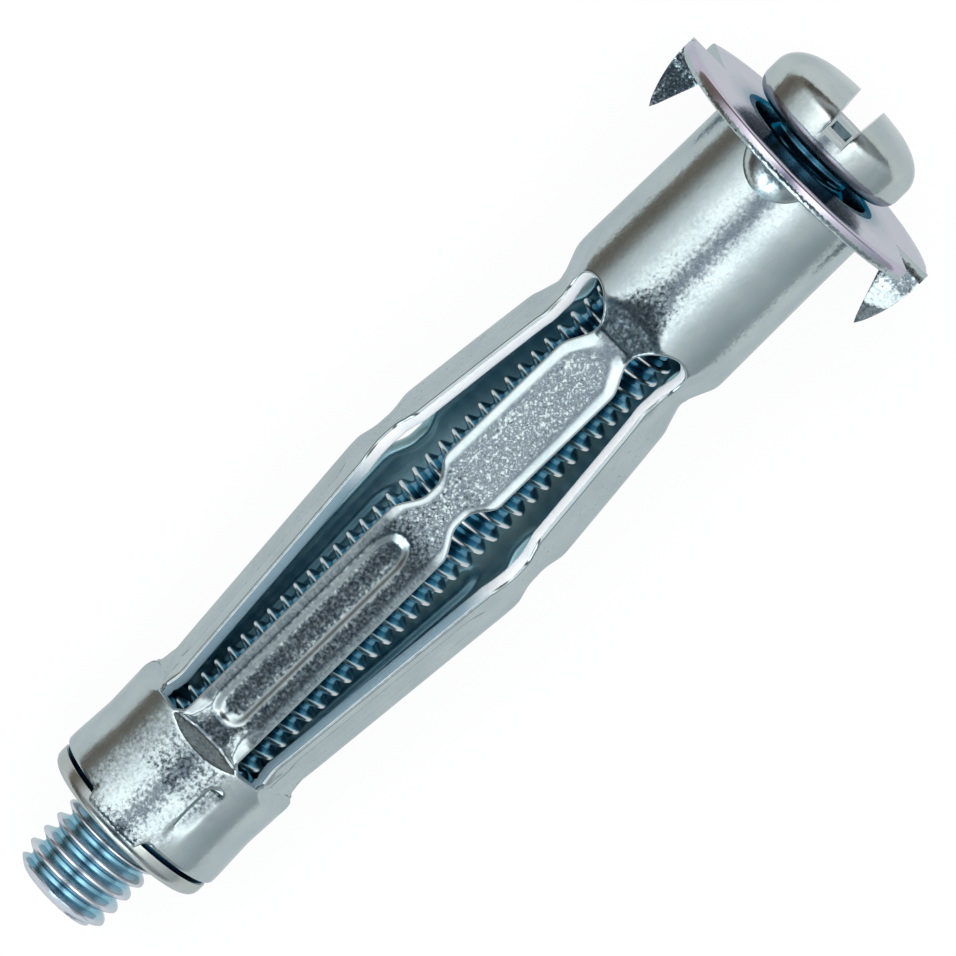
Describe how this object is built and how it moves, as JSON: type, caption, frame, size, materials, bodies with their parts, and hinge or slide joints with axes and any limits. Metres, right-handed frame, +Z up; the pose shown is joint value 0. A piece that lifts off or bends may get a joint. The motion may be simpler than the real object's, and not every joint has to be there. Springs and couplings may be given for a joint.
{
  "type": "hollow wall anchor",
  "caption": "Hollow wall anchor: slotted steel sleeve with a pronged collar and folding legs, a crimped end nut and a slotted machine screw.",
  "frame": {"origin": "midpoint of the base of the bounding box, on the surface that the anchor lies on", "axes": "+X along the anchor towards the screw's head, +Y towards one prong, +Z up, away from the surface"},
  "size_m": [0.0615, 0.0178, 0.0178],
  "materials": {
    "sleeve_steel": "bright zinc plate on pressed sheet, pale blue-grey, with a lilac tint on the collar and a fine pressed grain on the legs",
    "nut_steel": "bright zinc plate, turned",
    "screw_steel": "bright blue-passivated zinc plate on a rolled thread and a headed blank"
  },
  "bodies": {
    "anchor": {"anchor_sleeve": "sleeve_steel", "end_nut": "nut_steel"},
    "screw": {"machine_screw": "screw_steel"}
  },
  "joints": [
    {"name": "screw_turn", "type": "hinge", "parent": "anchor", "child": "screw", "pos_m": [0.02564, 0, 0.00885], "axis": [0.9978, 0, 0.0666], "continuous": true}
  ]
}
